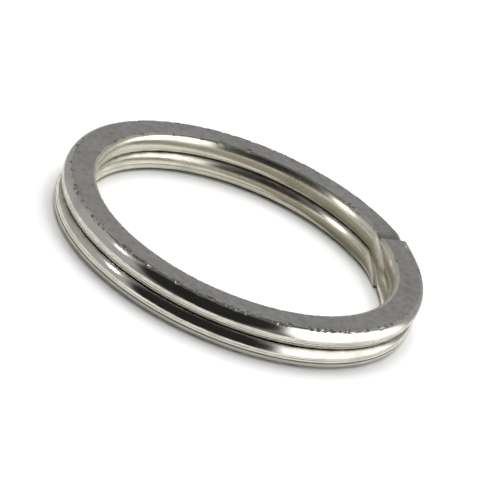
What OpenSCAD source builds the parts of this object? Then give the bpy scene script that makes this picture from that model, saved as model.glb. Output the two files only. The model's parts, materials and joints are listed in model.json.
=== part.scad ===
// Split key ring: one flat spring-steel wire wound into two close turns.
// The wire climbs from the lower turn to the upper one at a short slope, the crossover, and
// each turn ends in a tapered free end that lies tight against that slope.
// The wire is divided into stretches so that each turn can twist open and spring back.
// +Z is the ring's axis, z = 0 is the face it lies on, and +X runs through the crossover.

/* [Ring] */
// Outer diameter, over the crowned sides
ring_d = 30; // [24:0.5:36]
// Gap between the two turns, and between a free end and the slope
turn_gap = 0.1; // [0.06:0.01:0.15]

/* [Wire] */
// Radial width of the wire, over its crowned sides
wire_w = 2.65; // [2.2:0.05:3.4]
// Thickness of the wire, which is the height of one turn
wire_t = 1.65; // [1.3:0.05:2.0]
// Slope of the crowned sides where they meet the rounded edges, in degrees from upright
side_slope = 30; // [15:1:40]
// Rounding of the wire's edges
edge_round = 0.28; // [0.15:0.01:0.35]

/* [Crossover] */
// Length of the slope, measured along the middle of the wire
slope_length = 4.6; // [4:0.1:6]
// Share of the slope over which it eases in, and again eases out
slope_ease = 0.15; // [0.05:0.01:0.3]
// Thickness left at the tip of a free end
tip_t = 0.25; // [0.2:0.01:0.35]
// Angle of rigid wire on each side of the crossover
root_angle = 30; // [24:1:36]

/* [Hidden] */
$fn = 180;

stretch_count = 6;                    // stretches in each free turn, the tip among them
corner_steps = 3;                     // chords in each rounded edge of the section
crown_steps = 4;                      // chords in each crowned side of the section
arc_step = 5;                         // degrees between sections where the wire lies flat
slope_steps = 12;                     // sections' spacing along the slope
tip_edge_share = 0.45;                // most of the thickness that an edge's rounding takes at a tip

mid_r = (ring_d - wire_w) / 2;        // radius of the middle of the wire
rise = wire_t + turn_gap;             // how far the slope climbs
ring_h = wire_t + rise;               // height of the whole ring
slope_half = slope_length / mid_r * 90 / PI;      // half the slope's angle
stretch_angle = (360 - root_angle) / stretch_count;

// Rise of the wire's underside, as a share, at share u of the way along the slope.
function eased(u) =
    u <= 0 ? 0
    : u >= 1 ? 1
    : u < slope_ease ? u * u / (2 * slope_ease * (1 - slope_ease))
    : u > 1 - slope_ease ? 1 - (1 - u) * (1 - u) / (2 * slope_ease * (1 - slope_ease))
    : (u - slope_ease / 2) / (1 - slope_ease);

// The same at an angle from the middle of the crossover.
function climb(angle) = eased((angle + slope_half) / (2 * slope_half));

// Share of the way along the slope at which the wire has climbed the share v.
function eased_back(v) =
    v > 1 - slope_ease / (2 * (1 - slope_ease))
    ? 1 - sqrt((1 - v) * 2 * slope_ease * (1 - slope_ease))
    : v * (1 - slope_ease) + slope_ease / 2;

// A free end stops where the slope leaves it only tip_t thick.
tip_angle = slope_half * (2 * eased_back((wire_t - tip_t) / rise) - 1);

// One crowned side of a section of height t, from the underside up, with edges rounded by r.
// The crown is an arc that the roundings run into without a crease. side is 1 outside, -1 inside.
function side_points(side, t, r) =
    let (
        crown_half = t / 2 - r * (1 - sin(side_slope)),
        crown_r = crown_half / sin(side_slope),
        corner_x = wire_w / 2 - crown_half * tan(side_slope / 2) - r * cos(side_slope)
    )
    concat(
        [for (i = [0 : corner_steps])
            let (a = (90 - side_slope) * i / corner_steps)
            [side * (corner_x + r * sin(a)), r - r * cos(a)]],
        [for (i = [1 : crown_steps - 1])
            let (a = side_slope * (2 * i / crown_steps - 1))
            [side * (wire_w / 2 - crown_r * (1 - cos(a))), t / 2 + crown_r * sin(a)]],
        [for (i = [0 : corner_steps])
            let (a = side_slope + (90 - side_slope) * i / corner_steps)
            [side * (corner_x + r * cos(a)), t - r + r * sin(a)]]
    );

// The wire's section, counterclockwise: x across the wire from its middle, y up from below.
function section(t, r) =
    let (inside = side_points(-1, t, r), n = len(inside))
    concat(side_points(1, t, r), [for (i = [n - 1 : -1 : 0]) inside[i]]);

// A point of a section, carried round the ring to an angle and up to a height.
function placed(p, angle, z) =
    [(mid_r + p[0]) * cos(angle), (mid_r + p[0]) * sin(angle), z + p[1]];

// The section at an angle on the crossover, lifted by the climb.
function crossover_ring(angle) =
    [for (p = section(wire_t, edge_round)) placed(p, angle, climb(angle) * rise)];

// The section of the upper free end, which thins from below to stay clear of the slope.
function tip_ring(angle) =
    let (lift = climb(angle) * rise, t = wire_t - lift)
    [for (p = section(t, min(edge_round, t * tip_edge_share))) placed(p, angle, rise + lift)];

// Angles from a to b, no further apart than step.
function steps(a, b, step) =
    let (n = ceil((b - a) / step))
    [for (i = [0 : n]) a + (b - a) * i / n];

// A closed solid through rings of points, which run counterclockwise in the section.
module swept(rings) {
    m = len(rings[0]);
    last = len(rings) - 1;
    side_a = [for (j = [0 : last - 1], i = [0 : m - 1])
        [j * m + i, j * m + (i + 1) % m, (j + 1) * m + i]];
    side_b = [for (j = [0 : last - 1], i = [0 : m - 1])
        [j * m + (i + 1) % m, (j + 1) * m + (i + 1) % m, (j + 1) * m + i]];
    start = [[for (i = [m - 1 : -1 : 0]) i]];
    end = [[for (i = [0 : m - 1]) last * m + i]];
    polyhedron(points = [for (r = rings, p = r) p], faces = concat(start, side_a, side_b, end));
}

// Where the upper turn's stretch n starts, counted from 0 and going round from the root.
function stretch_start(n) = root_angle + n * stretch_angle;

module upper_stretch(n) {
    color([0.72, 0.7, 0.66])
    translate([0, 0, rise])
    rotate([0, 0, stretch_start(n)])
    rotate_extrude(angle = stretch_angle)
    translate([mid_r, 0])
    polygon(section(wire_t, edge_round));
}

module upper_free_end() {
    flat = steps(stretch_start(stretch_count - 1) - 360, -slope_half, arc_step);
    sloped = steps(-slope_half, tip_angle, 2 * slope_half / slope_steps);
    angles = concat(flat, [for (i = [1 : len(sloped) - 1]) sloped[i]]);
    color([0.76, 0.74, 0.7])
    swept([for (a = angles) tip_ring(a)]);
}

// The lower turn is the upper one turned half round about the X axis at mid height.
module turned_over() {
    translate([0, 0, ring_h])
    rotate([180, 0, 0])
    children();
}

module crossover() {
    flat = steps(-root_angle, -slope_half, arc_step);
    sloped = steps(-slope_half, slope_half, 2 * slope_half / slope_steps);
    n = len(flat);
    angles = concat(
        [for (i = [0 : n - 2]) flat[i]],
        sloped,
        [for (i = [n - 2 : -1 : 0]) -flat[i]]
    );
    color([0.66, 0.64, 0.6])
    swept([for (a = angles) crossover_ring(a)]);
}

module upper_turn_1() { upper_stretch(0); }
module upper_turn_2() { upper_stretch(1); }
module upper_turn_3() { upper_stretch(2); }
module upper_turn_4() { upper_stretch(3); }
module upper_turn_5() { upper_stretch(4); }
module upper_tip() { upper_free_end(); }

module lower_turn_1() { turned_over() upper_stretch(0); }
module lower_turn_2() { turned_over() upper_stretch(1); }
module lower_turn_3() { turned_over() upper_stretch(2); }
module lower_turn_4() { turned_over() upper_stretch(3); }
module lower_turn_5() { turned_over() upper_stretch(4); }
module lower_tip() { turned_over() upper_free_end(); }

crossover();
upper_turn_1();
upper_turn_2();
upper_turn_3();
upper_turn_4();
upper_turn_5();
upper_tip();
lower_turn_1();
lower_turn_2();
lower_turn_3();
lower_turn_4();
lower_turn_5();
lower_tip();
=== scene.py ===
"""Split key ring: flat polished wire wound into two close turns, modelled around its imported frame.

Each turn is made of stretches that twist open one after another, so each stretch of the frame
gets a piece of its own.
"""

import json
import math

import bpy
from bpy.props import FloatProperty, FloatVectorProperty, IntProperty, PointerProperty
from mathutils import Matrix, Vector, noise as field

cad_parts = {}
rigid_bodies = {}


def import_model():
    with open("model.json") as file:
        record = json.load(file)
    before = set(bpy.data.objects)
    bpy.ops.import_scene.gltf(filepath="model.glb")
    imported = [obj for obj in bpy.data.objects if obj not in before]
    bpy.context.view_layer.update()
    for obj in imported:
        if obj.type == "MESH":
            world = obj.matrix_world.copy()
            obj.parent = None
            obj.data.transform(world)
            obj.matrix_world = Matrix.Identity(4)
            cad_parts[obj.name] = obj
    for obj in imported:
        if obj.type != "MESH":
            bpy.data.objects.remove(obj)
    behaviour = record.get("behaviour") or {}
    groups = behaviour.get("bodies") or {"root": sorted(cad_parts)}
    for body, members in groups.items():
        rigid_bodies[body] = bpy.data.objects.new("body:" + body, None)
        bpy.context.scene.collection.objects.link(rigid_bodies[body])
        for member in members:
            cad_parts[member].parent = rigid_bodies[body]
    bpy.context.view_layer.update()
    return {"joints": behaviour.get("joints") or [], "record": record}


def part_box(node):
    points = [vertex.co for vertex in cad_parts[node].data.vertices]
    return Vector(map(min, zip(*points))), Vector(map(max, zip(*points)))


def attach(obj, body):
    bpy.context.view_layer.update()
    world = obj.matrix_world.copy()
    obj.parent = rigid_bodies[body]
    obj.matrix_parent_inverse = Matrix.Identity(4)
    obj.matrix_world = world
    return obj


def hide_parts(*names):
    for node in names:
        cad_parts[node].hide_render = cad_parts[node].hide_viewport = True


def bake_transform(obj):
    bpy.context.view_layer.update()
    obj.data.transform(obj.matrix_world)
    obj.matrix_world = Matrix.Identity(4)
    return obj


bl_info = {
    "name": "Split key ring",
    "version": (1, 0, 0),
    "blender": (4, 5, 0),
    "location": "3D View > Sidebar > Key Ring",
    "description": "Models a split key ring of flat polished wire around its packed frame",
    "category": "Object",
}

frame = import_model()

MM = 0.001
TURNS = ("turn_1", "turn_2", "turn_3", "turn_4", "turn_5")
SAME_PLACE = 0.001 * MM         # points closer than this count as one
CUT_SLACK = 0.0001 * MM         # how near to a cut a point may lie and still be on it
CROWN_STEPS = 16                # chords in each crowned side of the section
CORNER_STEPS = 8                # chords in each rounded edge of the section
FACE_ROWS = (0.04 * MM, 0.09 * MM, 0.16 * MM, 0.26 * MM, 0.5 * MM)    # distances from a face's edge
ANGLE_SLACK = 1e-7              # how closely the end of a free end is found, in radians
SEAM_STEP = math.radians(0.1)   # a short step at each end, so that pieces are shaded alike at a cut
SMOOTH_ANGLE = math.radians(35)    # sharper folds than this are shaded as edges
LEVEL_NORMAL = 0.85             # least upright share of the normals of the two flat faces

# The wire's sizes and the places of its cuts, as the frame's hinges and resting face give them.
HINGES = {joint["child"]: Vector(joint["pos_m"]) for joint in frame["joints"]}
BODY_BEFORE = {joint["child"]: joint["parent"] for joint in frame["joints"]}
RESTING_FACE = next(m for m in frame["record"]["mounts"] if m["name"] == "base")
RING_R = HINGES["upper_turn_1"].xy.length
MID_R = -RESTING_FACE["pos_m"][0]
WIRE_W = 2 * (RING_R - MID_R)
WIRE_T = HINGES["lower_turn_1"].z
RISE = HINGES["upper_turn_1"].z
RING_H = WIRE_T + RISE


def cut_angle(body):
    """Angle round the ring of the cut where a stretch starts, in radians."""
    hinge = HINGES[body]
    return math.atan2(hinge.y, hinge.x)


ROOT_ANGLE = cut_angle("upper_turn_1")
STRETCH_ANGLE = cut_angle("upper_turn_2") - ROOT_ANGLE


class KeyRingWire(bpy.types.PropertyGroup):
    """Shape of the wire, as far as the frame leaves it open."""

    edge_round: FloatProperty(
        name="Edge rounding", description="Radius of the wire's four edges",
        default=0.28 * MM, min=0.15 * MM, max=0.35 * MM, precision=6, unit="LENGTH")
    side_slope: FloatProperty(
        name="Side slope", description="Slope of the crowned sides where they meet the edges",
        default=math.radians(30), subtype="ANGLE", unit="ROTATION")
    slope_length: FloatProperty(
        name="Crossover length", description="Length of the slope along the middle of the wire",
        default=4.6 * MM, precision=6, unit="LENGTH")
    slope_ease: FloatProperty(
        name="Crossover easing", description="Share of the slope over which it eases in and out",
        default=0.15, min=0.05, max=0.3, subtype="FACTOR")
    tip_t: FloatProperty(
        name="Tip thickness", description="Thickness left at the tip of a free end",
        default=0.25 * MM, precision=6, unit="LENGTH")
    nick_depth: FloatProperty(
        name="Nick depth", description="Depth of the small nicks along the edges of the faces",
        default=0.14 * MM, precision=6, unit="LENGTH")
    nick_size: FloatProperty(
        name="Nick size", description="Grain of the nicks along the edges of the faces",
        default=0.3 * MM, precision=6, unit="LENGTH")
    nick_reach: FloatProperty(
        name="Nick reach", description="How far the nicks reach from the edges of the faces",
        default=0.16 * MM, precision=6, unit="LENGTH")
    worn_size: FloatProperty(
        name="Worn stretches", description="Size of the stretches where the edges are more worn",
        default=1.6 * MM, precision=6, unit="LENGTH")
    outer_wear: FloatProperty(
        name="Outer wear", description="How worn the outer edges are on the whole",
        default=0.75, subtype="FACTOR", min=0, max=1)
    inner_wear: FloatProperty(
        name="Inner wear", description="How worn the inner edges are on the whole",
        default=0.2, subtype="FACTOR", min=0, max=1)
    step: FloatProperty(
        name="Step", description="Angle between sections along the wire",
        default=math.radians(0.3), subtype="ANGLE", unit="ROTATION")


class KeyRingFinish(bpy.types.PropertyGroup):
    """Plating of the wire, with painted shade in its groove and a painted sheen on its inner sides."""

    plating: FloatVectorProperty(
        name="Plating", description="Colour of the polished nickel plating",
        default=(0.78, 0.765, 0.71), subtype="COLOR", min=0, max=1)
    # Also the colour of the painted shade in the groove between the turns.
    tarnish_and_shade: FloatVectorProperty(
        name="Tarnish", description="Colour of grimy and worn plating",
        default=(0.3, 0.28, 0.2), subtype="COLOR", min=0, max=1)
    # The inner sides' lighter, warmer colour is a painted sheen for the warm light the metal reflects
    # onto itself inside the ring.
    painted_inside_sheen: FloatVectorProperty(
        name="Inside plating", description="Colour of the plating on the inner sides",
        default=(0.92, 0.9, 0.79), subtype="COLOR", min=0, max=1)
    ground: FloatVectorProperty(
        name="Ground faces", description="Colour of the plating on the two ground faces",
        default=(0.66, 0.65, 0.64), subtype="COLOR", min=0, max=1)
    side_roughness: FloatProperty(
        name="Side roughness", description="Roughness of the polished sides",
        default=0.09, subtype="FACTOR", min=0, max=1)
    inside_roughness: FloatProperty(
        name="Inside roughness", description="Roughness of the inner sides, which polish hardly reaches",
        default=0.21, subtype="FACTOR", min=0, max=1)
    face_roughness: FloatProperty(
        name="Face roughness", description="Roughness of the two ground faces",
        default=0.3, subtype="FACTOR", min=0, max=1)


class KeyRingStudio(bpy.types.PropertyGroup):
    """Camera. The room, the lamps and the cards stand round from its heading."""

    heading: FloatProperty(
        name="Heading", description="Way the camera looks, as an angle from the X axis",
        default=math.radians(60), subtype="ANGLE", unit="ROTATION")
    elevation: FloatProperty(
        name="Elevation", description="Height of the camera above the ring's plane",
        default=math.radians(25.7), subtype="ANGLE", unit="ROTATION")
    roll: FloatProperty(
        name="Roll", description="Tilt of the camera about its own line of sight",
        default=math.radians(23.5), subtype="ANGLE", unit="ROTATION")
    lens: FloatProperty(
        name="Lens", description="Focal length, in millimetres", default=250, min=50)
    fill: FloatProperty(
        name="Fill", description="Share of the picture's width that the ring takes",
        default=0.8, subtype="FACTOR", min=0.1, max=1)


# Shape of the slope, as the frame's crossover has it.

def eased(share, ease):
    """Share of the climb at a share of the way along the slope."""
    share = min(max(share, 0), 1)
    if share < ease:
        return share ** 2 / (2 * ease * (1 - ease))
    if share > 1 - ease:
        return 1 - (1 - share) ** 2 / (2 * ease * (1 - ease))
    return (share - ease / 2) / (1 - ease)


def slope_half(shape):
    """Half the slope's angle."""
    return shape.slope_length / MID_R / 2


def climb(shape, angle):
    """How far the wire has climbed at an angle from the middle of the crossover."""
    half = slope_half(shape)
    return RISE * eased((angle + half) / (2 * half), shape.slope_ease)


def tip_angle(shape):
    """Angle at which the slope leaves a free end only its tip's thickness, found by halving."""
    low = -slope_half(shape)
    high = slope_half(shape)
    while high - low > ANGLE_SLACK:
        middle = (low + high) / 2
        if climb(shape, middle) < WIRE_T - shape.tip_t:
            low = middle
        else:
            high = middle
    return low


# Modelling steps.

def deselect():
    if bpy.context.mode != "OBJECT":
        bpy.ops.object.mode_set(mode="OBJECT")
    bpy.ops.object.select_all(action="DESELECT")


def make_only(piece):
    """Makes a piece the one that is selected and active."""
    deselect()
    piece.select_set(True)
    bpy.context.view_layer.objects.active = piece


def pick(piece, test):
    """In edit mode, selects the vertices whose place passes the test, and nothing else."""
    bpy.ops.object.mode_set(mode="OBJECT")
    mesh = piece.data
    for part in (*mesh.polygons, *mesh.edges):
        part.select = False
    for vertex in mesh.vertices:
        vertex.select = test(vertex.co)
    bpy.ops.object.mode_set(mode="EDIT")
    bpy.ops.mesh.select_mode(type="VERT")


def cut(place, direction):
    """Cuts the whole mesh along a plane, in edit mode."""
    bpy.ops.mesh.select_all(action="SELECT")
    bpy.ops.mesh.bisect(plane_co=place, plane_no=direction, threshold=CUT_SLACK)


def near(a, b):
    return abs(a - b) < SAME_PLACE


def face_half(shape):
    """Half the width of a flat face, between its edges' roundings."""
    crown_half = WIRE_T / 2 - shape.edge_round * (1 - math.sin(shape.side_slope))
    bulge = crown_half * math.tan(shape.side_slope / 2)
    return WIRE_W / 2 - bulge - shape.edge_round * math.cos(shape.side_slope)


def add_section(shape, name):
    """The wire's section as one flat face, standing at the middle of the wire on the X axis."""
    radius, slope = shape.edge_round, shape.side_slope
    crown_half = WIRE_T / 2 - radius * (1 - math.sin(slope))
    crown_r = crown_half / math.sin(slope)
    edge_x = WIRE_W / 2 - crown_half * math.tan(slope / 2)
    centre = Vector((MID_R, 0, WIRE_T / 2))
    deselect()
    bpy.ops.mesh.primitive_plane_add(size=1, location=centre, rotation=(math.radians(90), 0, 0))
    piece = bpy.context.object
    piece.name = piece.data.name = name
    bpy.ops.object.transform_apply(location=True, rotation=True)
    bpy.ops.object.mode_set(mode="EDIT")
    bpy.ops.mesh.select_all(action="SELECT")
    bpy.ops.transform.resize(value=(2 * edge_x, 1, WIRE_T), center_override=centre)
    # The crowned sides, level by level, between the edges' roundings.
    levels = [crown_r * math.sin(slope * (2 * i / CROWN_STEPS - 1)) for i in range(CROWN_STEPS + 1)]
    for level in levels:
        cut(centre + Vector((0, 0, level)), (0, 0, 1))
    for level in levels[1:-1]:
        out = WIRE_W / 2 - crown_r + math.sqrt(crown_r ** 2 - level ** 2)
        pick(piece, lambda co: near(co.z - centre.z, level))
        bpy.ops.transform.resize(value=(out / edge_x, 1, 1), center_override=centre)
    # The corners lie on the lines that the crown's ends run into, and are rounded from there.
    corner_x = edge_x - radius * (1 - math.sin(slope)) * math.tan(slope)
    pick(piece, lambda co: near(abs(co.z - centre.z), WIRE_T / 2))
    bpy.ops.transform.resize(value=(corner_x / edge_x, 1, 1), center_override=centre)
    bpy.ops.mesh.bevel(
        affect="VERTICES", offset_type="OFFSET", profile=0.5, segments=CORNER_STEPS,
        offset=radius * math.tan(math.radians(45) - slope / 2))
    # Rows along the faces, close together by their edges, for the nicks to bite into.
    half = face_half(shape)
    for inset in FACE_ROWS:
        for side in (-1, 1):
            cut(centre + Vector((side * (half - inset), 0, 0)), (1, 0, 0))
    bpy.ops.mesh.select_all(action="SELECT")
    bpy.ops.mesh.remove_doubles(threshold=SAME_PLACE)
    return piece


def spin(angle, steps):
    """Carries the selected faces round the ring's axis, drawing wire behind them."""
    bpy.ops.mesh.spin(steps=steps, angle=angle, center=(0, 0, 0), axis=(0, 0, -1))


def add_wire(shape, name, start, end):
    """Wire of constant section on the floor, from one angle round the ring to another."""
    piece = add_section(shape, name)
    bpy.ops.mesh.select_all(action="SELECT")
    sweep = end - start
    spin(SEAM_STEP, 1)
    spin(sweep - 2 * SEAM_STEP, math.ceil(sweep / shape.step))
    spin(SEAM_STEP, 1)
    bpy.ops.mesh.select_all(action="SELECT")
    bpy.ops.mesh.normals_make_consistent(inside=False)
    deselect()
    piece.data.transform(Matrix.Rotation(start, 4, "Z"))
    return piece


def stations(piece, lowest, highest):
    """The angles at which a piece has sections, between two angles, each with its vertices."""
    found = {}
    for vertex in piece.data.vertices:
        angle = math.atan2(vertex.co.y, vertex.co.x)
        if lowest < angle < highest:
            found.setdefault(round(angle, 6), []).append(vertex)
    return found


def copy_of(piece, name):
    """A copy of a piece with a mesh of its own."""
    make_only(piece)
    bpy.ops.object.duplicate(linked=False)
    copy = bpy.context.object
    copy.name = copy.data.name = name
    return copy


def turned(piece, angle, axis):
    """Turns a piece about an axis through the middle of the ring, and keeps its place in its mesh."""
    make_only(piece)
    piece.matrix_world = (
        Matrix.Translation((0, 0, RING_H / 2))
        @ Matrix.Rotation(angle, 4, axis)
        @ Matrix.Translation((0, 0, -RING_H / 2)))
    bpy.ops.object.transform_apply(location=True, rotation=True, scale=True)


def finish_piece(piece, body):
    """Materials, nicks and shading; a piece whose body has no hinge goes with that body, and the others
    keep their place.
    """
    finish_faces(piece)
    add_nicks(piece)
    make_only(piece)
    bpy.ops.object.shade_smooth_by_angle(angle=SMOOTH_ANGLE)
    if body in BODY_BEFORE:
        start, end = seam_middles(body)
        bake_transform(piece)
    else:
        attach(piece, body)
    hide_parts(body)


def seam_middles(body):
    """Middles of the two ends of a stretch: the cut where it starts, and the far one."""
    start = HINGES[body].copy()
    start.xy *= MID_R / RING_R
    low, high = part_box(body)
    start.z = (low.z + high.z) / 2
    side = 1 if body.startswith("upper") else -1
    sweep = STRETCH_ANGLE
    if body.endswith("tip"):
        sweep = tip_angle(bpy.context.scene.key_ring_wire) - cut_angle("upper_tip")
    end = Matrix.Rotation(side * sweep, 3, "Z") @ start
    return start, end


def finish_faces(piece):
    """Gives the flat faces the ground finish and the rest the polished one."""
    piece.data.materials.clear()
    piece.data.materials.append(bpy.data.materials["polished_sides"])
    piece.data.materials.append(bpy.data.materials["ground_faces"])
    half = face_half(bpy.context.scene.key_ring_wire)
    for face in piece.data.polygons:
        between_edges = abs(face.center.xy.length - MID_R) < half
        face.material_index = int(between_edges and abs(face.normal.z) > LEVEL_NORMAL)


def wear(shape, place):
    """How worn the edges are at a place, from 0 to 1: in patches, and most on the outer edges."""
    usual = shape.outer_wear if place.xy.length > MID_R else shape.inner_wear
    return min(max(usual + 2 * field.noise(place / shape.worn_size), 0), 1)


def add_nicks(piece):
    """Small nicks along the edges of the ring's upper and lower face, bitten into the metal."""
    shape = bpy.context.scene.key_ring_wire
    half = face_half(shape)
    for inwards, level in ((-1, RING_H), (1, 0)):
        group = piece.vertex_groups.new(name="face_edges")
        for vertex in piece.data.vertices:
            from_edge = half - abs(vertex.co.xy.length - MID_R)
            from_face = abs(vertex.co.z - level)
            weight = 1 - (max(from_edge, 0) + from_face) / shape.nick_reach
            if weight > 0:
                group.add([vertex.index], weight * wear(shape, vertex.co), "REPLACE")
        make_only(piece)
        bpy.ops.object.modifier_add(type="DISPLACE")
        nicks = piece.modifiers[-1]
        nicks.texture = bpy.data.textures["edge_nicks"]
        nicks.texture_coords = "LOCAL"
        nicks.direction = "Z"
        nicks.mid_level = 0
        nicks.strength = inwards * shape.nick_depth
        nicks.vertex_group = group.name
        bpy.ops.object.modifier_apply(modifier=nicks.name)
        piece.vertex_groups.clear()


# Node trees. The sizes below are those of the grains in the metal's finishes.

STREAK = 30                     # how many times longer a streak is than it is wide
DRAWING_LINE = 0.06 * MM
SMUDGE = 2.6 * MM
# The groove's darkening is partly grime and partly painted shade in the crease between the turns.
GRIME_AND_SHADE_BLOTCH = 0.9 * MM
GRIME_AND_SHADE_START = 0.04 * MM         # grime and painted shade are thickest up to here from the middle of the groove
GRIME_AND_SHADE_REACH = 0.36 * MM         # and have thinned out here
INSIDE_FADE = 0.5 * MM          # width over which the inner finish and its painted sheen give way to the outer ones
GRINDING_LINE = 0.04 * MM
MOTTLE = 0.45 * MM
CLOUD = 4 * MM
SPECK = 0.2 * MM
RELIEF = 0.003 * MM             # depth of the drawing and grinding lines


def node(tree, kind, **settings):
    """Adds a shader node with its settings."""
    added = tree.nodes.new("ShaderNode" + kind)
    for name, value in settings.items():
        setattr(added, name, value)
    return added


def plug(tree, value, socket):
    """Puts a number, a colour or another node's result into a socket."""
    if isinstance(value, bpy.types.NodeSocket):
        tree.links.new(value, socket)
    else:
        socket.default_value = value


def maths(tree, operation, first, second=0.0):
    """A maths node's result."""
    added = node(tree, "Math", operation=operation)
    plug(tree, first, added.inputs[0])
    plug(tree, second, added.inputs[1])
    return added.outputs[0]


def ranged(tree, value, low, high, to_low, to_high, smooth=False):
    """Carries a value from one range to another, and stops it at the ends."""
    added = node(tree, "MapRange", clamp=True)
    if smooth:
        added.interpolation_type = "SMOOTHSTEP"
    plug(tree, value, added.inputs["Value"])
    for name, number in (
            ("From Min", low), ("From Max", high), ("To Min", to_low), ("To Max", to_high)):
        plug(tree, number, added.inputs[name])
    return added.outputs["Result"]


def mixed(tree, first, second, share):
    """A colour between two colours."""
    added = node(tree, "Mix", data_type="RGBA")
    plug(tree, share, added.inputs[0])
    plug(tree, first, added.inputs[6])
    plug(tree, second, added.inputs[7])
    return added.outputs[2]


def noise(tree, place, grain, detail=2):
    """Cloudy noise with grains of a size, about 0.5 in the middle."""
    added = node(tree, "TexNoise")
    plug(tree, 1 / grain, added.inputs["Scale"])
    plug(tree, detail, added.inputs["Detail"])
    plug(tree, place, added.inputs["Vector"])
    return added.outputs["Fac"]


def places_on_wire(tree):
    """A place, and its angle round the ring, its radius and its height."""
    place = node(tree, "TexCoord").outputs["Object"]
    parts = node(tree, "SeparateXYZ")
    plug(tree, place, parts.inputs[0])
    x, y, height = parts.outputs
    x_squared = maths(tree, "MULTIPLY", x, x)
    y_squared = maths(tree, "MULTIPLY", y, y)
    radius = maths(tree, "SQRT", maths(tree, "ADD", x_squared, y_squared))
    return place, maths(tree, "ARCTAN2", y, x), radius, height


def pressed(tree, angle, radius, height):
    """A place with the way along the wire pressed together, so that noise makes streaks of it."""
    place = node(tree, "CombineXYZ")
    plug(tree, radius, place.inputs[0])
    plug(tree, maths(tree, "MULTIPLY", angle, MID_R / STREAK), place.inputs[1])
    plug(tree, height, place.inputs[2])
    return place.outputs[0]


def new_metal(name):
    """A metal whose colour, roughness and relief its own nodes set."""
    material = bpy.data.materials.new(name)
    material.use_nodes = True
    shader = material.node_tree.nodes["Principled BSDF"]
    plug(material.node_tree, 1.0, shader.inputs["Metallic"])
    return material.node_tree, shader


def finish_metal(tree, shader, colour, roughness, relief, depth):
    """Joins a metal's colour, roughness and relief to its shader."""
    plug(tree, colour, shader.inputs["Base Color"])
    plug(tree, roughness, shader.inputs["Roughness"])
    added = node(tree, "Bump")
    plug(tree, depth, added.inputs["Distance"])
    plug(tree, relief, added.inputs["Height"])
    plug(tree, added.outputs["Normal"], shader.inputs["Normal"])


def add_polished_sides(finish):
    """Bright nickel with drawing lines along the wire, smudges, grime and painted shade towards the
    groove, and a painted sheen on the inner sides.
    """
    tree, shader = new_metal("polished_sides")
    place, angle, radius, height = places_on_wire(tree)
    inside = ranged(tree, radius, MID_R - INSIDE_FADE, MID_R, 1.0, 0.0)
    smudges = noise(tree, place, SMUDGE, 4.0)
    lines = noise(tree, pressed(tree, angle, radius, height), DRAWING_LINE, 3.0)
    # Darker towards the groove between the turns: partly grime, partly painted shade in the crease.
    from_groove = maths(tree, "ABSOLUTE", maths(tree, "SUBTRACT", height, RING_H / 2))
    grime_and_shade = ranged(tree, from_groove, GRIME_AND_SHADE_START, GRIME_AND_SHADE_REACH, 1.0, 0.0)
    blotches = ranged(tree, noise(tree, place, GRIME_AND_SHADE_BLOTCH, 5.0), 0.35, 0.7, 0.35, 1.0)
    grime_and_shade = maths(tree, "MULTIPLY", grime_and_shade, blotches)
    dull = maths(tree, "MAXIMUM", grime_and_shade, ranged(tree, smudges, 0.5, 0.8, 0.0, 0.35))
    clean = finish.side_roughness
    rough = ranged(tree, smudges, 0.35, 0.7, 0.7 * clean, 1.8 * clean)
    rough = maths(tree, "ADD", rough, maths(tree, "MULTIPLY", grime_and_shade, 0.25))
    rougher_inside = maths(tree, "MULTIPLY", inside, finish.inside_roughness - clean)
    rough = maths(tree, "ADD", rough, rougher_inside)
    # Painted sheen: the inner sides are coloured lighter and warmer.
    clean_colour = mixed(tree, (*finish.plating, 1), (*finish.painted_inside_sheen, 1), inside)
    colour = mixed(tree, clean_colour, (*finish.tarnish_and_shade, 1), dull)
    finish_metal(tree, shader, colour, rough, lines, RELIEF)


def add_ground_faces(finish):
    """Satin nickel with a fine grain round the ring and specks where the plating has worn."""
    tree, shader = new_metal("ground_faces")
    place, angle, radius, height = places_on_wire(tree)
    lines = noise(tree, pressed(tree, angle, radius, height), GRINDING_LINE, 4.0)
    mottle = noise(tree, place, MOTTLE, 5.0)
    clouds = noise(tree, place, CLOUD, 3.0)
    specks = ranged(tree, noise(tree, place, SPECK), 0.7, 0.76, 0.0, 1.0)
    dull = ranged(tree, mottle, 0.4, 0.75, 0.0, 0.4)
    dull = maths(tree, "ADD", dull, maths(tree, "MULTIPLY", specks, 0.4))
    dull = maths(tree, "ADD", dull, ranged(tree, clouds, 0.4, 0.7, 0.0, 0.2))
    clean = finish.face_roughness
    rough = ranged(tree, mottle, 0.3, 0.7, 0.8 * clean, 1.25 * clean)
    rough = maths(tree, "ADD", rough, maths(tree, "MULTIPLY", specks, 0.2))
    relief = maths(tree, "SUBTRACT", lines, specks)
    colour = mixed(tree, (*finish.ground, 1), (*finish.tarnish_and_shade, 1), dull)
    finish_metal(tree, shader, colour, rough, relief, RELIEF)


class KEYRING_OT_finishes(bpy.types.Operator):
    """Makes the plating's materials and the grain of the nicks"""

    bl_idname = "key_ring.finishes"
    bl_label = "Finishes"

    def execute(self, context):
        finish = context.scene.key_ring_finish
        grain = bpy.data.textures.new("edge_nicks", "CLOUDS")
        grain.noise_scale = context.scene.key_ring_wire.nick_size
        grain.noise_basis = "ORIGINAL_PERLIN"
        grain.noise_depth = 1
        grain.use_color_ramp = True
        no_nick, deepest_nick = grain.color_ramp.elements
        no_nick.position = 0.46
        deepest_nick.position = 0.68
        add_polished_sides(finish)
        add_ground_faces(finish)
        return {"FINISHED"}


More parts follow.
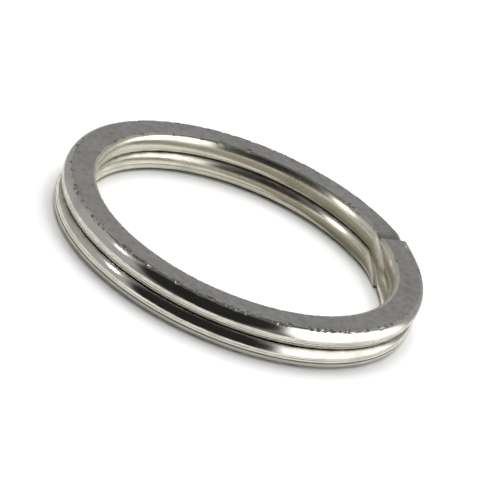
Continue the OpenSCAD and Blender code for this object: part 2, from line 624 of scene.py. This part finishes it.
class KEYRING_OT_turns(bpy.types.Operator):
    """Models one stretch of a turn and copies it round both turns"""

    bl_idname = "key_ring.turns"
    bl_label = "Turns"

    def execute(self, context):
        shape = context.scene.key_ring_wire
        pattern = add_wire(shape, "turn_pattern", 0, STRETCH_ANGLE)
        pattern.data.transform(Matrix.Translation((0, 0, RISE)))
        for turn in TURNS:
            upper = copy_of(pattern, "upper_" + turn + "_wire")
            turned(upper, cut_angle("upper_" + turn), "Z")
            lower = copy_of(upper, "lower_" + turn + "_wire")
            turned(lower, math.pi, "X")
            finish_piece(upper, "upper_" + turn)
            finish_piece(lower, "lower_" + turn)
        bpy.data.objects.remove(pattern)
        return {"FINISHED"}


class KEYRING_OT_crossover(bpy.types.Operator):
    """Models the crossover, where the wire climbs from the lower turn to the upper one"""

    bl_idname = "key_ring.crossover"
    bl_label = "Crossover"

    def execute(self, context):
        shape = context.scene.key_ring_wire
        piece = add_wire(shape, "crossover_wire", -ROOT_ANGLE, ROOT_ANGLE)
        for angle, ring in stations(piece, -slope_half(shape), math.pi).items():
            for vertex in ring:
                vertex.co.z += climb(shape, angle)
        finish_piece(piece, "crossover")
        return {"FINISHED"}


class KEYRING_OT_free_ends(bpy.types.Operator):
    """Models the free end of the upper turn, thinned to lie against the slope, and turns a copy over"""

    bl_idname = "key_ring.free_ends"
    bl_label = "Free ends"

    def execute(self, context):
        shape = context.scene.key_ring_wire
        upper = add_wire(shape, "upper_tip_wire", cut_angle("upper_tip"), tip_angle(shape))
        upper.data.transform(Matrix.Translation((0, 0, RISE)))
        for angle, ring in stations(upper, -slope_half(shape), math.pi).items():
            thinned = 1 - climb(shape, angle) / WIRE_T
            for vertex in ring:
                vertex.co.z = RING_H - (RING_H - vertex.co.z) * thinned
        lower = copy_of(upper, "lower_tip_wire")
        turned(lower, math.pi, "X")
        finish_piece(upper, "upper_tip")
        finish_piece(lower, "lower_tip")
        return {"FINISHED"}


# What the polished wire reflects: soft patches of light and shade around it. Each has the way
# to its middle, round from the camera and up from the horizon, and its half angle, in degrees,
# and how bright it is.
PATCHES = {
    "floor_glow": (0, -90, 45, 1.0),
    "left_light": (-98, 5, 54, 0.42),
    "right_light": (95, 5, 50, 1.5),
    "back_wall": (180, 25, 60, 0.36),
    "ceiling": (0, 90, 40, 0.12),
    "front_shade": (-3, 12, 45, 0.022),
}
PATCH_EDGE = 12                 # width over which a patch fades out, in degrees
ROOM = 0.16                     # how bright the rest of the room is
BACKDROP = 1.0                  # how bright the backdrop looks

FLOOR_R = 1.0
FLOOR_GAP = 0.01 * MM           # the floor lies this far under the ring
FLOOR_COLOUR = (0.9, 0.9, 0.9)
MATT = 0.9                      # roughness of the floor and the cards
CIRCLE_STEPS = 96               # corners of the floor and the cards, which are round

# Two striped cards that only the metal's reflections show: a bright one at the foot of the ring,
# and a dark one just above it that touches the inner wall from inside. The dark card is painted
# shade, standing in for the floor inside the ring where the ring's shadow falls. The stripes on
# both cards are painted dark lines, standing in for reflections of shadows and things round the ring.
BRIGHT_CARD_R = 19 * MM
BRIGHT_CARD_Z = 0.01 * MM
BRIGHT_CARD = (0.9, 0.89, 0.86)
# The stripes are painted dark lines, standing in for reflections of shadows and things round the ring.
BRIGHT_CARD_PAINTED_LINES = (0.12, 0.115, 0.1)
# The dark card is painted shade: the floor inside the ring, where the ring's shadow falls.
SHADE_CARD_R = 8.5 * MM
SHADE_CARD_Z = 0.03 * MM
SHADE_CARD = (0.26, 0.24, 0.2)
SHADE_CARD_PAINTED_LINES = (0.12, 0.11, 0.09)
SHADE_CARD_AZIMUTH = 140         # where the dark card of painted shade touches the wall, round from the camera
# Spacing of the painted dark lines on both cards.
PAINTED_LINE_PITCH = 0.95 * MM


def way(studio, azimuth, elevation):
    """Direction from the ring, round from the camera to its right and up from the horizon."""
    ahead = Vector((math.cos(studio.heading), math.sin(studio.heading), 0))
    turn = Matrix.Rotation(math.radians(azimuth), 3, "Z")
    level = turn @ -ahead
    lift = math.radians(elevation)
    return level * math.cos(lift) + Vector((0, 0, math.sin(lift)))


def add_room(studio):
    """The room that the metal reflects, with a pale backdrop for the camera."""
    world = bpy.data.worlds.new("studio_room")
    bpy.context.scene.world = world
    world.use_nodes = True
    tree = world.node_tree
    seen = node(tree, "TexCoord").outputs["Generated"]
    brightness = ROOM
    for azimuth, elevation, half, light in PATCHES.values():
        facing = node(tree, "VectorMath", operation="DOT_PRODUCT")
        plug(tree, seen, facing.inputs[0])
        plug(tree, way(studio, azimuth, elevation), facing.inputs[1])
        inner = math.cos(math.radians(half - PATCH_EDGE / 2))
        outer = math.cos(math.radians(half + PATCH_EDGE / 2))
        share = ranged(tree, facing.outputs["Value"], outer, inner, 0.0, 1.0, smooth=True)
        gain = maths(tree, "MULTIPLY", share, maths(tree, "SUBTRACT", light, brightness))
        brightness = maths(tree, "ADD", brightness, gain)
    for_camera = node(tree, "LightPath").outputs["Is Camera Ray"]
    for_metal = maths(tree, "SUBTRACT", 1.0, for_camera)
    room = maths(tree, "MULTIPLY", brightness, for_metal)
    backdrop = maths(tree, "MULTIPLY", for_camera, BACKDROP)
    brightness = maths(tree, "ADD", room, backdrop)
    plug(tree, brightness, tree.nodes["Background"].inputs["Strength"])
    plug(tree, (1, 1, 1, 1), tree.nodes["Background"].inputs["Color"])


def add_floor():
    """A round pale floor that the metal doesn't reflect, because the room's glow stands for it."""
    deselect()
    bpy.ops.mesh.primitive_circle_add(vertices=CIRCLE_STEPS, radius=FLOOR_R, fill_type="NGON")
    floor = bpy.context.object
    floor.location.z = -FLOOR_GAP
    floor.name = floor.data.name = "floor"
    floor.visible_glossy = False
    paint = bpy.data.materials.new("floor_paint")
    paint.use_nodes = True
    shader = paint.node_tree.nodes["Principled BSDF"]
    plug(paint.node_tree, (*FLOOR_COLOUR, 1), shader.inputs["Base Color"])
    plug(paint.node_tree, MATT, shader.inputs["Roughness"])
    floor.data.materials.append(paint)


def add_card(name, place, radius, colour, painted_line_colour):
    """A round card that only reflections show, with narrow stripes that run round the ring's axis:
    painted dark lines, standing in for reflections of shadows and things round the ring.
    """
    deselect()
    bpy.ops.mesh.primitive_circle_add(
        vertices=CIRCLE_STEPS, radius=radius, fill_type="NGON", location=place)
    card = bpy.context.object
    card.name = card.data.name = name
    card.visible_camera = False
    card.visible_diffuse = False
    card.visible_shadow = False
    bpy.ops.object.transform_apply(location=True)
    material = bpy.data.materials.new(name)
    material.use_nodes = True
    tree = material.node_tree
    shader = tree.nodes["Principled BSDF"]
    _, _, from_axis, _ = places_on_wire(tree)
    # Painted dark lines in rings round the axis, for reflections of shadows and things round the ring.
    wave = maths(tree, "SINE", maths(tree, "MULTIPLY", from_axis, math.tau / PAINTED_LINE_PITCH))
    painted_line_share = ranged(tree, wave, 0.35, 0.75, 0.0, 1.0)
    plug(tree, mixed(tree, (*colour, 1), (*painted_line_colour, 1), painted_line_share), shader.inputs["Base Color"])
    plug(tree, MATT, shader.inputs["Roughness"])
    card.data.materials.append(material)


def add_cards(studio):
    """A bright card at the ring's foot, and a dark one inside it that darkens the inner wall with
    painted shade, standing in for the ring's shadow on the floor inside it.
    """
    centre = Vector((0, 0, BRIGHT_CARD_Z))
    add_card("bright_card", centre, BRIGHT_CARD_R, BRIGHT_CARD, BRIGHT_CARD_PAINTED_LINES)
    # Painted shade: the dark card stands in for the shadowed floor inside the ring.
    centre = way(studio, SHADE_CARD_AZIMUTH, 0) * (MID_R - WIRE_W / 2 - SHADE_CARD_R)
    centre.z = SHADE_CARD_Z
    add_card("shade_card", centre, SHADE_CARD_R, SHADE_CARD, SHADE_CARD_PAINTED_LINES)


def add_lamp(studio, name, azimuth, elevation, distance, size, power, reflected):
    """A square soft lamp that looks at the ring, in metres, watts and degrees from the camera."""
    bpy.ops.object.light_add(type="AREA")
    lamp = bpy.context.object
    lamp.name = lamp.data.name = name
    lamp.data.size = size
    lamp.data.energy = power
    lamp.visible_glossy = reflected
    towards = way(studio, azimuth, elevation)
    lamp.location = towards * distance
    lamp.rotation_euler = towards.to_track_quat("Z", "Y").to_euler()


def add_camera(studio):
    """A long lens that looks at the middle of the ring."""
    bpy.ops.object.camera_add()
    camera = bpy.context.object
    camera.data.lens = studio.lens
    width = 2 * RING_R / studio.fill
    distance = width / camera.data.sensor_width * studio.lens
    back = way(studio, 0, math.degrees(studio.elevation))
    camera.location = Vector((0, 0, RING_H / 2)) + back * distance
    aim = back.to_track_quat("Z", "Y").to_matrix()
    camera.rotation_euler = (aim @ Matrix.Rotation(studio.roll, 3, "Z")).to_euler()
    camera.data.clip_start = 0.01
    camera.data.clip_end = 10
    bpy.context.scene.camera = camera


class KEYRING_OT_stage(bpy.types.Operator):
    """Lays the floor and the cards, and sets the room, the lamps and the camera"""

    bl_idname = "key_ring.stage"
    bl_label = "Stage"

    def execute(self, context):
        studio = context.scene.key_ring_studio
        add_floor()
        add_cards(studio)
        add_room(studio)
        add_lamp(
            studio, "top_softbox", azimuth=180, elevation=75, distance=0.7, size=0.6, power=6,
            reflected=False)
        add_lamp(
            studio, "small_lamp", azimuth=-62, elevation=14, distance=0.6, size=0.03, power=0.4,
            reflected=True)
        add_camera(studio)
        context.scene.view_settings.view_transform = "Standard"
        return {"FINISHED"}


class VIEW3D_PT_key_ring(bpy.types.Panel):
    """The ring's settings and the operators that build it"""

    bl_label = "Key Ring"
    bl_space_type = "VIEW_3D"
    bl_region_type = "UI"
    bl_category = "Key Ring"

    def draw(self, context):
        scene = context.scene
        for group in (scene.key_ring_wire, scene.key_ring_finish, scene.key_ring_studio):
            box = self.layout.box()
            for name in group.__annotations__:
                box.prop(group, name)
        for operator in OPERATORS:
            self.layout.operator(operator.bl_idname)


OPERATORS = (
    KEYRING_OT_finishes, KEYRING_OT_turns, KEYRING_OT_crossover, KEYRING_OT_free_ends,
    KEYRING_OT_stage)
CLASSES = (KeyRingWire, KeyRingFinish, KeyRingStudio, *OPERATORS, VIEW3D_PT_key_ring)


def register():
    for cls in CLASSES:
        bpy.utils.register_class(cls)
    bpy.types.Scene.key_ring_wire = PointerProperty(type=KeyRingWire)
    bpy.types.Scene.key_ring_finish = PointerProperty(type=KeyRingFinish)
    bpy.types.Scene.key_ring_studio = PointerProperty(type=KeyRingStudio)


def unregister():
    for name in ("key_ring_wire", "key_ring_finish", "key_ring_studio"):
        delattr(bpy.types.Scene, name)
    for cls in reversed(CLASSES):
        bpy.utils.unregister_class(cls)


def main():
    register()
    bpy.ops.key_ring.finishes()
    bpy.ops.key_ring.turns()
    bpy.ops.key_ring.crossover()
    bpy.ops.key_ring.free_ends()
    bpy.ops.key_ring.stage()


if __name__ == "__main__":
    main()
